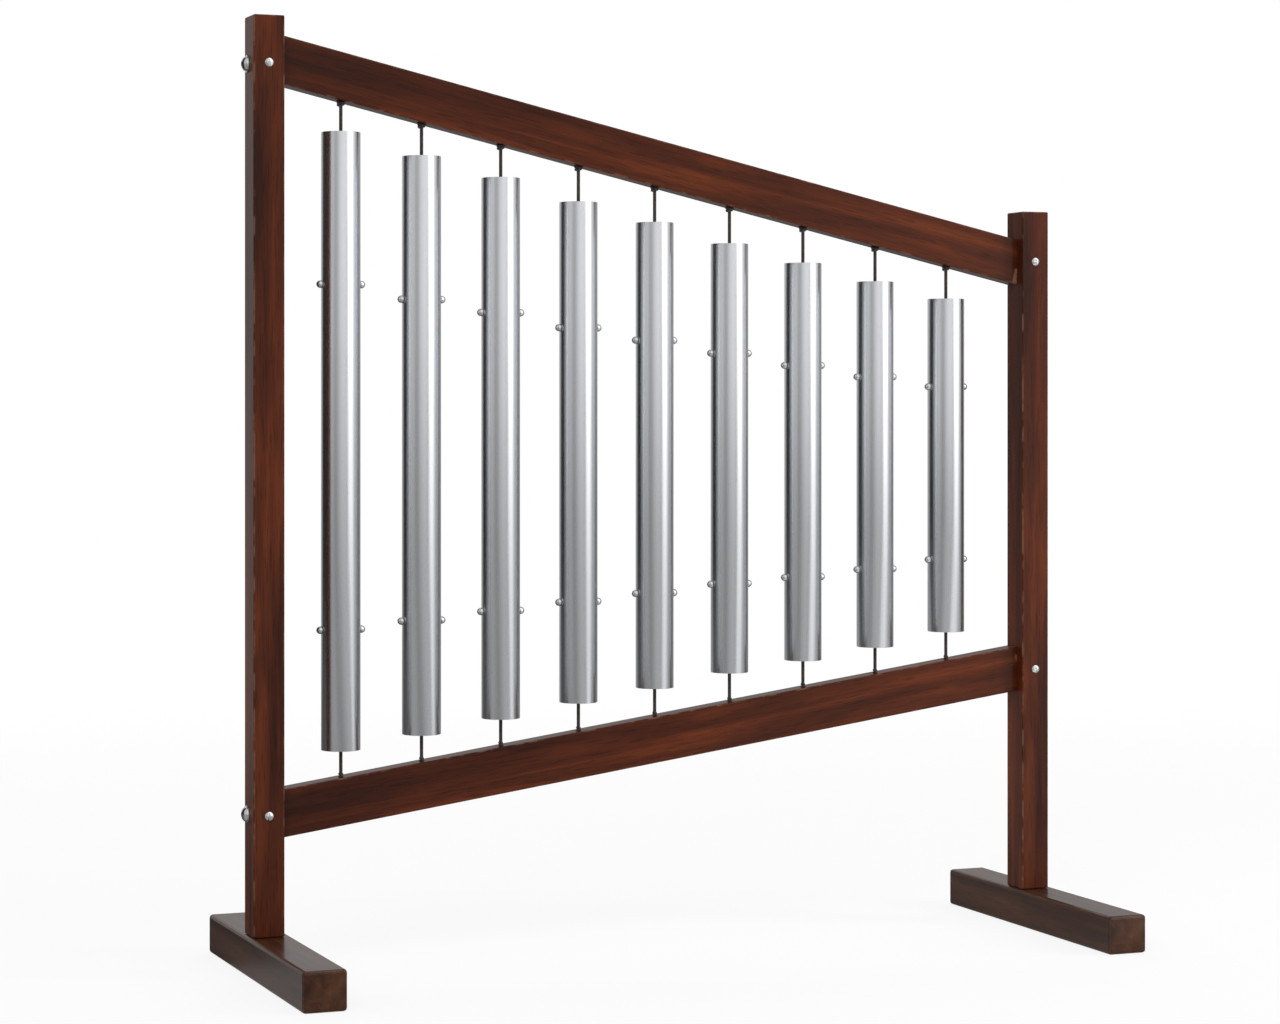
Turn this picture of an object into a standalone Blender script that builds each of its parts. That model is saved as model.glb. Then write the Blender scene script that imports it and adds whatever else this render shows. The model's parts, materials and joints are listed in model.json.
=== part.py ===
"""Tube chimes: nine aluminium tubes hung on cords in a wooden stand with sloping rails.

Run with blender --background --python part.py, or from Blender's text editor.
The feet stand on z = 0, the player stands on the -Y side, the longest tube is at -X,
and x = 0, y = 0 is the middle of the floor space that the stand takes up.
"""
import math

import bmesh
import bpy
from mathutils import Matrix, Vector

MM = 0.001

# Clearances
SEAT_GAP = 0.3 * MM            # where wood is drawn up to wood, and under heads and nuts
HOLE_GAP = 0.3 * MM            # round a shank, pin, tenon or knot in its hole
EYE_GAP = 0.4 * MM             # between a cord's eye and the pin it hangs on

# Posts and feet
POST_WIDTH = 40 * MM
POST_DEPTH = 45 * MM
POST_EDGE = 1.6 * MM
LEFT_POST_RISE = 23 * MM       # above the top rail's upper edge
RIGHT_POST_RISE = 38 * MM
FOOT_LENGTH = 456 * MM
FOOT_WIDTH = 55 * MM
FOOT_HEIGHT = 50 * MM
FOOT_EDGE = 4 * MM
POST_FROM_FOOT_BACK = 188 * MM    # post's middle to the foot's rear end
POST_FROM_FOOT_SIDE = 5 * MM      # post's left face to the foot's left side
TENON_WIDTH = 24 * MM
TENON_DEPTH = 30 * MM
TENON_LENGTH = 32 * MM

# Rails, each between the posts; heights are of the rail's middle at the post's inner face
RAIL_THICKNESS = 30 * MM
RAIL_BREADTH = 60 * MM
RAIL_SETBACK = 15 * MM         # front of the post to front of the rail
RAIL_EDGE = 1.6 * MM
TOP_RAIL_LEFT = 1152 * MM
TOP_RAIL_RIGHT = 913 * MM
BOTTOM_RAIL_LEFT = 202.5 * MM
BOTTOM_RAIL_RIGHT = 352.5 * MM

# Bolts that draw the posts to the rails' ends, and locking screws in the posts' fronts
BOLT_RADIUS = 4 * MM
BOLT_REACH = 34 * MM           # into the rail's end
BOLT_HEAD_RADIUS = 9.5 * MM
BOLT_HEAD_HEIGHT = 6 * MM
WASHER_RADIUS = 11 * MM
WASHER_THICKNESS = 2 * MM
TOP_LEFT_BOLT_DROP = 6 * MM    # below the rail's middle
SCREW_RADIUS = 2.5 * MM
SCREW_LENGTH = 15 * MM
SCREW_HEAD_RADIUS = 6 * MM
SCREW_HEAD_HEIGHT = 3.2 * MM
TIP_TAPER = 1.2 * MM           # how much slimmer a bolt's or screw's tip is, all round

# Tubes, from the longest at the left to the shortest at the right
TUBE_DIAMETER = 50 * MM
TUBE_WALL = 3 * MM
TUBE_PITCH = 107.5 * MM
LEFT_END_SPACE = 81.5 * MM     # left post's inner face to the first tube's middle
RIGHT_END_SPACE = 102.5 * MM   # last tube's middle to the right post's inner face
TUBE_SWING = 20 * MM           # how far a struck tube swings to the front and to the back
CORD_DROPS = [drop * MM for drop in (39, 42, 42.5, 47, 47, 48.5, 48, 47, 44.5)]
TETHER_RISES = [rise * MM for rise in (34, 34.5, 35.5, 37, 37, 38.5, 36, 35.5, 38)]

# Cross pins near the tube's still points, each with a domed nut at both ends
PIN_RADIUS = 2.5 * MM
UPPER_PIN_SHARE = 0.222        # of the tube's length, plus the allowance below
UPPER_PIN_ALLOWANCE = 19 * MM
LOWER_PIN_SHARE = 0.164
LOWER_PIN_ALLOWANCE = 24 * MM
NUT_RADIUS = 5 * MM
NUT_COLLAR = 1.6 * MM          # straight part of the nut, under its dome
NUT_DOME = 5.2 * MM

# Cords
CORD_RADIUS = 2.25 * MM
EYE_STRAND_RADIUS = 2 * MM     # the cord is drawn thinner round the pin
HANGER_KNOT_RADIUS = 5.7 * MM
HANGER_KNOT_DROP = 0.8 * MM    # knot's middle below the top rail
TETHER_KNOT_RADIUS = 3.4 * MM
TETHER_KNOT_RISE = 1.4 * MM    # knot's middle above the bottom rail
KNOT_SEAT_ROOM = 1.2 * MM      # between a knot and the bottom of its seat

# Facets
TUBE_STEPS = 32
FASTENER_STEPS = 12
NUT_STEPS = 10
CORD_STEPS = 8
HOLE_STEPS = 12
EYE_STEPS = 10

# Colours, as linear red, green, blue
WOOD = (0.105, 0.026, 0.009)
DARK_WOOD = (0.060, 0.017, 0.007)
ALUMINIUM = (0.62, 0.64, 0.67)
CHROME = (0.72, 0.73, 0.74)
CORD = (0.018, 0.012, 0.010)

# Worked out from the sizes above
TUBE_COUNT = len(CORD_DROPS)
CLEAR_SPAN = LEFT_END_SPACE + (TUBE_COUNT - 1) * TUBE_PITCH + RIGHT_END_SPACE
POST_SPACING = CLEAR_SPAN + POST_WIDTH
HEAD_PROUD = SEAT_GAP + WASHER_THICKNESS + BOLT_HEAD_HEIGHT
LEFT_REACH = POST_WIDTH / 2 + max(HEAD_PROUD, POST_FROM_FOOT_SIDE)
RIGHT_REACH = POST_WIDTH / 2 + max(HEAD_PROUD, FOOT_WIDTH - POST_FROM_FOOT_SIDE - POST_WIDTH)
LEFT_POST_X = (LEFT_REACH - RIGHT_REACH - POST_SPACING) / 2
RIGHT_POST_X = LEFT_POST_X + POST_SPACING
SPAN_LEFT = LEFT_POST_X + POST_WIDTH / 2
SPAN_RIGHT = RIGHT_POST_X - POST_WIDTH / 2
POST_X = {"left": LEFT_POST_X, "right": RIGHT_POST_X}
POST_Y = FOOT_LENGTH / 2 - POST_FROM_FOOT_BACK
POST_FRONT = POST_Y - POST_DEPTH / 2
RAIL_Y = POST_FRONT + RAIL_SETBACK + RAIL_THICKNESS / 2
EYE_RADIUS = PIN_RADIUS + EYE_GAP + EYE_STRAND_RADIUS
OVERCUT = 1 * MM               # how far a cutter runs past a face, or a joined shape into it
EDGE_LIMIT = 0.45              # a rounded edge's largest share of the piece's thickness


def clear_scene():
    """Remove every object that is already in the scene."""
    for old in list(bpy.data.objects):
        bpy.data.objects.remove(old, do_unlink=True)


def material(name, colour, roughness, metallic=0.0):
    """A Principled material with one colour."""
    made = bpy.data.materials.new(name)
    made.use_nodes = True
    shader = made.node_tree.nodes["Principled BSDF"]
    shader.inputs["Base Color"].default_value = (*colour, 1.0)
    shader.inputs["Roughness"].default_value = roughness
    shader.inputs["Metallic"].default_value = metallic
    return made


def world_place(thing):
    """Where an object's origin is in the world, for objects that are never turned."""
    if thing.parent is None:
        return Vector(thing.location)
    return Vector(thing.location) + world_place(thing.parent)


def place(thing, at, parent=None):
    """Put an object's origin at a point of the world, under its parent."""
    thing.parent = parent
    thing.location = Vector(at) - (world_place(parent) if parent else Vector())
    return thing


def pivot(name, at, parent=None):
    """An empty that carries pieces."""
    empty = bpy.data.objects.new(name, None)
    bpy.context.collection.objects.link(empty)
    return place(empty, at, parent)


def mesh_object(name, shape, finish=None, smooth=False):
    """Turn a bmesh into an object."""
    bmesh.ops.recalc_face_normals(shape, faces=shape.faces)
    mesh = bpy.data.meshes.new(name)
    shape.to_mesh(mesh)
    shape.free()
    if smooth:
        mesh.shade_smooth()
        mesh.set_sharp_from_angle(angle=math.radians(35))
    made = bpy.data.objects.new(name, mesh)
    if finish:
        mesh.materials.append(finish)
    bpy.context.collection.objects.link(made)
    return made


def helper(thing):
    """Mark an object that only cuts or adds to another."""
    thing.hide_render = True
    thing.display_type = "WIRE"
    return thing


def combine(thing, tool, operation):
    """Cut an object with a helper, or join the helper to it."""
    step = thing.modifiers.new(tool.name, "BOOLEAN")
    step.operation = operation
    step.solver = "EXACT"
    step.object = helper(tool)
    tool.parent = thing.parent
    tool.location = thing.location
    return thing


def block_shape(low, high, edge=0.0, segments=2):
    """A box between two corners, with its edges rounded."""
    low, high = Vector(low), Vector(high)
    shape = bmesh.new()
    bmesh.ops.create_cube(shape, size=1.0)
    size = high - low
    bmesh.ops.scale(shape, vec=size, verts=shape.verts)
    bmesh.ops.translate(shape, vec=(low + high) / 2, verts=shape.verts)
    if edge > 0:
        limit = min(edge, min(size) * EDGE_LIMIT)
        bmesh.ops.bevel(shape, geom=shape.edges[:], offset=limit, segments=segments,
                        profile=0.5, affect="EDGES")
    return shape


def turned_shape(profile, steps, axis=(0, 0, 1), start=(0, 0, 0), closed=False):
    """Turn a profile of (radius, height) points about an axis through a start point."""
    shape = bmesh.new()
    line = [shape.verts.new((radius, 0, height)) for radius, height in profile]
    edges = [shape.edges.new(pair) for pair in zip(line, line[1:])]
    if closed:
        edges.append(shape.edges.new((line[-1], line[0])))
    bmesh.ops.spin(shape, geom=line + edges, cent=(0, 0, 0), axis=(0, 0, 1),
                   angle=2 * math.pi, steps=steps, use_merge=True)
    bmesh.ops.remove_doubles(shape, verts=shape.verts, dist=1e-7)
    turn = Vector((0, 0, 1)).rotation_difference(Vector(axis)).to_matrix().to_4x4()
    bmesh.ops.transform(shape, matrix=Matrix.Translation(start) @ turn, verts=shape.verts)
    return shape


def add_shape(total, extra):
    """Add a second bmesh's faces to the first, and free the second."""
    mesh = bpy.data.meshes.new("extra")
    extra.to_mesh(mesh)
    extra.free()
    total.from_mesh(mesh)
    bpy.data.meshes.remove(mesh)


def drill_shape(holes):
    """Straight round cutters, whose flats lie on the radius: (radius, start, end)."""
    total = bmesh.new()
    for radius, start, end in holes:
        run = Vector(end) - Vector(start)
        corner = radius / math.cos(math.pi / HOLE_STEPS)
        profile = [(0, 0), (corner, 0), (corner, run.length), (0, run.length)]
        add_shape(total, turned_shape(profile, HOLE_STEPS, run.normalized(), start))
    return total


def arc(radius, rise, base, start, end, count):
    """Points of a quarter or half oval on a turned profile, by angle in degrees."""
    points = []
    for step in range(count + 1):
        angle = math.radians(start + (end - start) * step / count)
        points.append((max(0.0, radius * math.cos(angle)), base + rise * math.sin(angle)))
    return points


def rail_height(left, right, x):
    """Height of a rail's middle line at x."""
    return left + (right - left) * (x - SPAN_LEFT) / CLEAR_SPAN


def rail_upright(left, right):
    """A sloping rail's breadth measured straight up."""
    return RAIL_BREADTH * math.hypot(1.0, (right - left) / CLEAR_SPAN)


def tube_x(index):
    """Middle of a tube."""
    return SPAN_LEFT + LEFT_END_SPACE + index * TUBE_PITCH


def top_rail_underside(x):
    return (rail_height(TOP_RAIL_LEFT, TOP_RAIL_RIGHT, x)
            - rail_upright(TOP_RAIL_LEFT, TOP_RAIL_RIGHT) / 2)


def bottom_rail_top(x):
    return (rail_height(BOTTOM_RAIL_LEFT, BOTTOM_RAIL_RIGHT, x)
            + rail_upright(BOTTOM_RAIL_LEFT, BOTTOM_RAIL_RIGHT) / 2)


def post_top(rail_end, rise):
    return rail_end + rail_upright(TOP_RAIL_LEFT, TOP_RAIL_RIGHT) / 2 + rise


class Chime:
    """Heights and places of one tube, its pins and its two cords."""

    def __init__(self, index):
        self.x = tube_x(index)
        self.top = top_rail_underside(self.x) - CORD_DROPS[index]
        self.bottom = bottom_rail_top(self.x) + TETHER_RISES[index]
        self.length = self.top - self.bottom
        self.upper_pin = self.top - UPPER_PIN_SHARE * self.length - UPPER_PIN_ALLOWANCE
        self.lower_pin = self.bottom + LOWER_PIN_SHARE * self.length + LOWER_PIN_ALLOWANCE
        self.hanger_knot = top_rail_underside(self.x) - HANGER_KNOT_DROP
        self.tether_knot = bottom_rail_top(self.x) + TETHER_KNOT_RISE
        self.tether_slack = self.rise_in_eye()

    def rise_in_eye(self):
        """How far the lower pin rises in its tether's eye when the tube swings out."""
        upper = self.hanger_knot - self.upper_pin
        lower = self.lower_pin - self.tether_knot
        lift = upper - math.sqrt(upper ** 2 - TUBE_SWING ** 2)
        return math.hypot(TUBE_SWING, lower + lift) - lower

    def at(self, height):
        return Vector((self.x, RAIL_Y, height))


# Each joint of a rail to a post: rail, post, outward direction, bolt's height
JOINTS = (
    ("top", "left", -1, TOP_RAIL_LEFT - TOP_LEFT_BOLT_DROP),
    ("top", "right", 1, TOP_RAIL_RIGHT),
    ("bottom", "left", -1, BOTTOM_RAIL_LEFT),
    ("bottom", "right", 1, BOTTOM_RAIL_RIGHT),
)


def bolt_hole(post, outward, height):
    """The bolt's hole, from outside the post to past its end in the rail."""
    outside = POST_X[post] + outward * (POST_WIDTH / 2 + OVERCUT)
    inside = POST_X[post] - outward * (POST_WIDTH / 2 + BOLT_REACH + HOLE_GAP + SEAT_GAP)
    return (BOLT_RADIUS + HOLE_GAP, (outside, RAIL_Y, height), (inside, RAIL_Y, height))


def screw_hole(post, height):
    """The locking screw's blind hole in the front of the post."""
    return (SCREW_RADIUS + HOLE_GAP, (POST_X[post], POST_FRONT - OVERCUT, height),
            (POST_X[post], POST_FRONT + SCREW_LENGTH + HOLE_GAP, height))


def make_post(side, top, finish, stand):
    """A square post with a tenon at its foot and holes for its bolts and screws."""
    name = side + "_post"
    x = POST_X[side]
    base = FOOT_HEIGHT + SEAT_GAP
    low = (x - POST_WIDTH / 2, POST_FRONT, base)
    high = (x + POST_WIDTH / 2, POST_FRONT + POST_DEPTH, top)
    post = place(mesh_object(name, block_shape(low, high, POST_EDGE), finish), (0, 0, 0), stand)
    tenon_low = (x - TENON_WIDTH / 2, POST_Y - TENON_DEPTH / 2, base - TENON_LENGTH)
    tenon_high = (x + TENON_WIDTH / 2, POST_Y + TENON_DEPTH / 2, base + OVERCUT)
    combine(post, mesh_object(name + "_tenon", block_shape(tenon_low, tenon_high)), "UNION")
    holes = []
    for _, joint_post, outward, height in JOINTS:
        if joint_post == side:
            holes.append(bolt_hole(side, outward, height))
            holes.append(screw_hole(side, height))
    return combine(post, mesh_object(name + "_holes", drill_shape(holes)), "DIFFERENCE")


def make_foot(side, finish, stand):
    """A foot that runs front to back, with a mortise for the post's tenon."""
    name = side + "_foot"
    x = POST_X[side]
    left = x - POST_WIDTH / 2 - POST_FROM_FOOT_SIDE
    low = (left, -FOOT_LENGTH / 2, 0)
    high = (left + FOOT_WIDTH, FOOT_LENGTH / 2, FOOT_HEIGHT)
    foot = place(mesh_object(name, block_shape(low, high, FOOT_EDGE), finish), (0, 0, 0), stand)
    half_width = TENON_WIDTH / 2 + HOLE_GAP
    half_depth = TENON_DEPTH / 2 + HOLE_GAP
    mortise_low = (x - half_width, POST_Y - half_depth, FOOT_HEIGHT - TENON_LENGTH - HOLE_GAP)
    mortise_high = (x + half_width, POST_Y + half_depth, FOOT_HEIGHT + OVERCUT)
    mortise = mesh_object(name + "_mortise", block_shape(mortise_low, mortise_high))
    return combine(foot, mortise, "DIFFERENCE")


def rail_shape(left, right):
    """A sloping rail with upright ends, drawn from the front and given its thickness."""
    half = rail_upright(left, right) / 2
    ends = (SPAN_LEFT + SEAT_GAP, SPAN_RIGHT - SEAT_GAP)
    corners = [(x, rail_height(left, right, x) + side * half)
               for x, side in ((ends[0], -1), (ends[1], -1), (ends[1], 1), (ends[0], 1))]
    shape = bmesh.new()
    front = RAIL_Y - RAIL_THICKNESS / 2
    outline = shape.faces.new([shape.verts.new((x, front, z)) for x, z in corners])
    pulled = bmesh.ops.extrude_face_region(shape, geom=[outline])
    backs = [item for item in pulled["geom"] if isinstance(item, bmesh.types.BMVert)]
    bmesh.ops.translate(shape, vec=(0, RAIL_THICKNESS, 0), verts=backs)
    long_edges = [edge for edge in shape.edges if edge.calc_length() > CLEAR_SPAN / 2]
    limit = min(RAIL_EDGE, RAIL_THICKNESS * EDGE_LIMIT)
    bmesh.ops.bevel(shape, geom=long_edges, offset=limit, segments=2, profile=0.5,
                    affect="EDGES")
    return shape


def hanger_seat(chime):
    """The blind hole in the top rail's underside for a hanging cord's knot."""
    floor = chime.hanger_knot + HANGER_KNOT_RADIUS + KNOT_SEAT_ROOM
    mouth = top_rail_underside(chime.x) - HANGER_KNOT_RADIUS - OVERCUT
    return (HANGER_KNOT_RADIUS + HOLE_GAP, chime.at(floor), chime.at(mouth))


def tether_seat(chime):
    """The blind hole in the bottom rail's top for a tether's knot."""
    floor = chime.tether_knot - TETHER_KNOT_RADIUS - KNOT_SEAT_ROOM
    mouth = bottom_rail_top(chime.x) + TETHER_KNOT_RADIUS + OVERCUT
    return (TETHER_KNOT_RADIUS + HOLE_GAP, chime.at(floor), chime.at(mouth))


def make_rail(which, left, right, knot_seat, finish, stand):
    """A rail with bolt holes in its ends and a seat for each cord's knot."""
    name = which + "_rail"
    rail = place(mesh_object(name, rail_shape(left, right), finish), (0, 0, 0), stand)
    holes = [knot_seat(Chime(index)) for index in range(TUBE_COUNT)]
    for joint_rail, post, outward, height in JOINTS:
        if joint_rail == which:
            holes.append(bolt_hole(post, outward, height))
    return combine(rail, mesh_object(name + "_holes", drill_shape(holes)), "DIFFERENCE")


def headed_profile(shank, length, washer, washer_thickness, head, head_height):
    """Half outline of a bolt or screw: its tip is below 0 and its head above."""
    taper = min(TIP_TAPER, shank / 2)
    profile = [(0, -length), (shank - taper, -length), (shank, -length + taper), (shank, SEAT_GAP)]
    base = SEAT_GAP + washer_thickness
    if washer_thickness > 0:
        profile += [(washer, SEAT_GAP), (washer, base)]
    return profile + arc(head, head_height, base, 0, 90, 3)


def make_bolt(name, post, outward, height, finish, stand):
    """A round-headed bolt with its washer, from the post's outer face into the rail."""
    profile = headed_profile(BOLT_RADIUS, POST_WIDTH + BOLT_REACH, WASHER_RADIUS,
                             WASHER_THICKNESS, BOLT_HEAD_RADIUS, BOLT_HEAD_HEIGHT)
    bolt = mesh_object(name, turned_shape(profile, FASTENER_STEPS, (outward, 0, 0)), finish, True)
    return place(bolt, (POST_X[post] + outward * POST_WIDTH / 2, RAIL_Y, height), stand)


def make_screw(name, post, height, finish, stand):
    """A small round-headed locking screw in the front of the post."""
    profile = headed_profile(SCREW_RADIUS, SCREW_LENGTH, 0, 0,
                             SCREW_HEAD_RADIUS, SCREW_HEAD_HEIGHT)
    screw = mesh_object(name, turned_shape(profile, FASTENER_STEPS, (0, -1, 0)), finish, True)
    return place(screw, (POST_X[post], POST_FRONT, height), stand)


def make_tube(name, chime, finish, carrier):
    """An open tube with two pairs of cross holes; its origin is on the upper pin."""
    outer = TUBE_DIAMETER / 2
    inner = outer - TUBE_WALL
    above = chime.top - chime.upper_pin
    below = chime.bottom - chime.upper_pin
    wall = [(outer, below), (outer, above), (inner, above), (inner, below)]
    shape = turned_shape(wall, TUBE_STEPS, closed=True)
    tube = place(mesh_object(name, shape, finish, True), chime.at(chime.upper_pin), carrier)
    reach = outer + OVERCUT
    holes = []
    for height in (0.0, chime.lower_pin - chime.upper_pin):
        holes.append((PIN_RADIUS + HOLE_GAP, (-reach, 0, height), (reach, 0, height)))
    return combine(tube, mesh_object(name + "_holes", drill_shape(holes)), "DIFFERENCE")


def make_pin(name, chime, height, finish, carrier):
    """A pin across the tube with a domed nut drawn up at each end."""
    seat = TUBE_DIAMETER / 2 + SEAT_GAP
    half = [(PIN_RADIUS, seat), (NUT_RADIUS, seat)]
    half += arc(NUT_RADIUS, NUT_DOME, seat + NUT_COLLAR, 0, 90, 2)
    profile = [(radius, -height) for radius, height in reversed(half)] + half
    shape = turned_shape(profile, NUT_STEPS, (1, 0, 0))
    return place(mesh_object(name, shape, finish, True), chime.at(height), carrier)


def eye_shape(middle, slack):
    """A cord's eye: a closed loop round a pin, longer upwards by the slack."""
    curve = bpy.data.curves.new("eye", "CURVE")
    curve.dimensions = "3D"
    curve.bevel_depth = EYE_STRAND_RADIUS
    curve.bevel_resolution = 1
    route = curve.splines.new("POLY")
    lower = [180 + 360 * step / EYE_STEPS for step in range(EYE_STEPS // 2 + 1)]
    upper = [360 * step / EYE_STEPS for step in range(EYE_STEPS // 2 + 1)]
    if slack == 0:
        upper = upper[1:-1]
    turns = [(angle, 0.0) for angle in lower] + [(angle, slack) for angle in upper]
    route.points.add(len(turns) - 1)
    corner = EYE_RADIUS / math.cos(math.pi / EYE_STEPS)
    for point, (angle, lift) in zip(route.points, turns):
        y = corner * math.cos(math.radians(angle))
        z = corner * math.sin(math.radians(angle)) + lift
        point.co = (0, y, middle + z, 1)
    route.use_cyclic_u = True
    carrier = bpy.data.objects.new("eye", curve)
    bpy.context.collection.objects.link(carrier)
    seen = carrier.evaluated_get(bpy.context.evaluated_depsgraph_get())
    mesh = bpy.data.meshes.new_from_object(seen)
    shape = bmesh.new()
    shape.from_mesh(mesh)
    bpy.data.objects.remove(carrier, do_unlink=True)
    return shape


def make_hanger(name, chime, finish, carrier):
    """The cord a tube hangs on: a knot in the top rail and an eye under the upper pin."""
    drop = chime.hanger_knot - chime.upper_pin
    start = math.degrees(math.acos(CORD_RADIUS / HANGER_KNOT_RADIUS))
    profile = [(0, EYE_RADIUS - drop), (CORD_RADIUS, EYE_RADIUS - drop)]
    profile += arc(HANGER_KNOT_RADIUS, HANGER_KNOT_RADIUS, 0, -start, 90, 4)
    cord = mesh_object(name, turned_shape(profile, CORD_STEPS), finish, True)
    place(cord, chime.at(chime.hanger_knot), carrier)
    return combine(cord, mesh_object(name + "_eye", eye_shape(-drop, 0.0)), "UNION")


def make_tether(name, chime, finish, stand):
    """The cord that steadies a tube: a knot in the bottom rail and an eye on the lower pin."""
    rise = chime.lower_pin - chime.tether_knot
    end = math.degrees(math.acos(CORD_RADIUS / TETHER_KNOT_RADIUS))
    profile = arc(TETHER_KNOT_RADIUS, TETHER_KNOT_RADIUS, 0, -90, end, 4)
    profile += [(CORD_RADIUS, rise - EYE_RADIUS), (0, rise - EYE_RADIUS)]
    cord = mesh_object(name, turned_shape(profile, CORD_STEPS), finish, True)
    place(cord, chime.at(chime.tether_knot), stand)
    eye = mesh_object(name + "_eye", eye_shape(rise, chime.tether_slack))
    return combine(cord, eye, "UNION")


def make_stand():
    """Posts, feet, rails and their fasteners."""
    wood = material("stained_wood", WOOD, 0.35)
    dark = material("dark_stained_wood", DARK_WOOD, 0.4)
    chrome = material("chromed_steel", CHROME, 0.15, 1.0)
    stand = pivot("stand", (0, 0, 0))
    make_post("left", post_top(TOP_RAIL_LEFT, LEFT_POST_RISE), wood, stand)
    make_post("right", post_top(TOP_RAIL_RIGHT, RIGHT_POST_RISE), wood, stand)
    make_foot("left", dark, stand)
    make_foot("right", dark, stand)
    make_rail("top", TOP_RAIL_LEFT, TOP_RAIL_RIGHT, hanger_seat, wood, stand)
    make_rail("bottom", BOTTOM_RAIL_LEFT, BOTTOM_RAIL_RIGHT, tether_seat, wood, stand)
    for rail, post, outward, height in JOINTS:
        make_bolt(f"{rail}_{post}_bolt", post, outward, height, chrome, stand)
        make_screw(f"{rail}_{post}_screw", post, height, chrome, stand)
    return stand


def make_chimes(stand):
    """Nine tubes, each on its own hanging cord and tether."""
    aluminium = material("brushed_aluminium", ALUMINIUM, 0.3, 1.0)
    chrome = material("nut_chrome", CHROME, 0.12, 1.0)
    braid = material("dark_cord", CORD, 0.8)
    for index in range(TUBE_COUNT):
        chime = Chime(index)
        number = str(index + 1)
        hang = pivot("hang_axis_" + number, chime.at(chime.hanger_knot), stand)
        make_hanger("hanging_cord_" + number, chime, braid, hang)
        rock = pivot("rock_axis_" + number, chime.at(chime.upper_pin), hang)
        make_tube("tube_" + number, chime, aluminium, rock)
        make_pin("upper_pin_" + number, chime, chime.upper_pin, chrome, rock)
        make_pin("lower_pin_" + number, chime, chime.lower_pin, chrome, rock)
        tie = pivot("tether_axis_" + number, chime.at(chime.tether_knot), stand)
        make_tether("tether_cord_" + number, chime, braid, tie)
        print(f"chime {number}: x {chime.x:.5f} y {RAIL_Y:.5f} length {chime.length:.5f}",
              f"hang {chime.hanger_knot:.5f} pin {chime.upper_pin:.5f}",
              f"low {chime.lower_pin:.5f} tether {chime.tether_knot:.5f}",
              f"top {chime.top:.5f} bottom {chime.bottom:.5f}")


clear_scene()
make_chimes(make_stand())
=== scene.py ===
import json
import math

import bpy
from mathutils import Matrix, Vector


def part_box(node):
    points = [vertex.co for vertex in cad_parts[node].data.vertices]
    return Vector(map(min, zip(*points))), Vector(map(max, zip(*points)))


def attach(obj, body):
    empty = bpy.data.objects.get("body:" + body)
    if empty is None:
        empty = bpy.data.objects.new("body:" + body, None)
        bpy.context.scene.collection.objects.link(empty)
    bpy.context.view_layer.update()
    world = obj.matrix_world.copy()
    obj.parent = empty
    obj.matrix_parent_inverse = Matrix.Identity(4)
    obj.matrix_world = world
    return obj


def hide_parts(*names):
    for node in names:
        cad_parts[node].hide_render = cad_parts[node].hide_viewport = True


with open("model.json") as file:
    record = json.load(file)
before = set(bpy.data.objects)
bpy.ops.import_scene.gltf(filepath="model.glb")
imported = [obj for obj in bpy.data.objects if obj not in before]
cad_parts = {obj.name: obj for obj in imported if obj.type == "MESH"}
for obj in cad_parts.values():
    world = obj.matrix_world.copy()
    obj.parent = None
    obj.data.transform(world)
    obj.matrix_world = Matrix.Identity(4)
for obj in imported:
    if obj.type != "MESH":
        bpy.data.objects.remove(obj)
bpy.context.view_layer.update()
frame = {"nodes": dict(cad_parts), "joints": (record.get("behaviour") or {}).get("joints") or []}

# The view
# The stand is seen from the left of its middle with a long lens. The camera stands level, so that
# upright edges stay upright, and its frame is shifted down to take in the feet.
VIEW_PLACE = (-1.5855, -3.8759, 0.7286)
VIEW_TURN = math.radians(-21.6)
VIEW_LENS = 90.0
VIEW_SHIFT = -0.0908
VIEW_SENSOR = 36.0
bpy.ops.object.select_all(action="DESELECT")
bpy.ops.object.camera_add(location=VIEW_PLACE, rotation=(math.radians(90), 0, VIEW_TURN))
camera = bpy.context.object
camera.name = "camera"
camera.data.sensor_width = VIEW_SENSOR
camera.data.sensor_fit = "HORIZONTAL"
camera.data.lens = VIEW_LENS
camera.data.shift_y = VIEW_SHIFT
bpy.context.scene.camera = camera
bpy.context.scene.view_settings.view_transform = "Standard"


# The room
# Everything behind the chimes is plain white. What polished metal shows is the whole room round them:
# a bright screen at the right front, a grey wall at the left and a dark opening behind it.
# ROOM_ROUND goes once round in plan, each place as a share of the turn with its brightness.
ROOM_FILL = 0.55
BACKDROP_WHITE = 1.0
BRIGHTEST = 2.0
ROOM_ROUND = ((0.00, 0.52), (0.07, 0.54), (0.11, 0.34), (0.20, 0.66), (0.28, 0.74), (0.31, 0.42),
              (0.335, 1.60), (0.39, 1.60), (0.44, 0.64), (0.58, 0.34), (0.70, 0.46), (0.80, 0.50),
              (0.85, 0.04), (0.94, 0.05), (0.98, 0.42))
ROOM_LOW = 0.70
ROOM_HIGH = 1.30
LOW_BELOW = -0.25
HIGH_ABOVE = 0.30


def walls_round(tree, split):
    """Brightness of the room by the direction in plan."""
    bearing = tree.nodes.new("ShaderNodeMath")
    bearing.operation = "ARCTAN2"
    tree.links.new(split.outputs["Y"], bearing.inputs[0])
    tree.links.new(split.outputs["X"], bearing.inputs[1])
    turn = tree.nodes.new("ShaderNodeMapRange")
    turn.inputs["From Min"].default_value = -math.pi
    turn.inputs["From Max"].default_value = math.pi
    tree.links.new(bearing.outputs[0], turn.inputs["Value"])
    walls = tree.nodes.new("ShaderNodeFloatCurve")
    line = walls.mapping.curves[0]
    seam = ROOM_ROUND[0][1] / BRIGHTEST
    line.points[0].location = (0.0, seam)
    line.points[1].location = (1.0, seam)
    for position, brightness in ROOM_ROUND[1:]:
        line.points.new(position, brightness / BRIGHTEST)
    walls.mapping.update()
    tree.links.new(turn.outputs[0], walls.inputs["Value"])
    return walls


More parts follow.
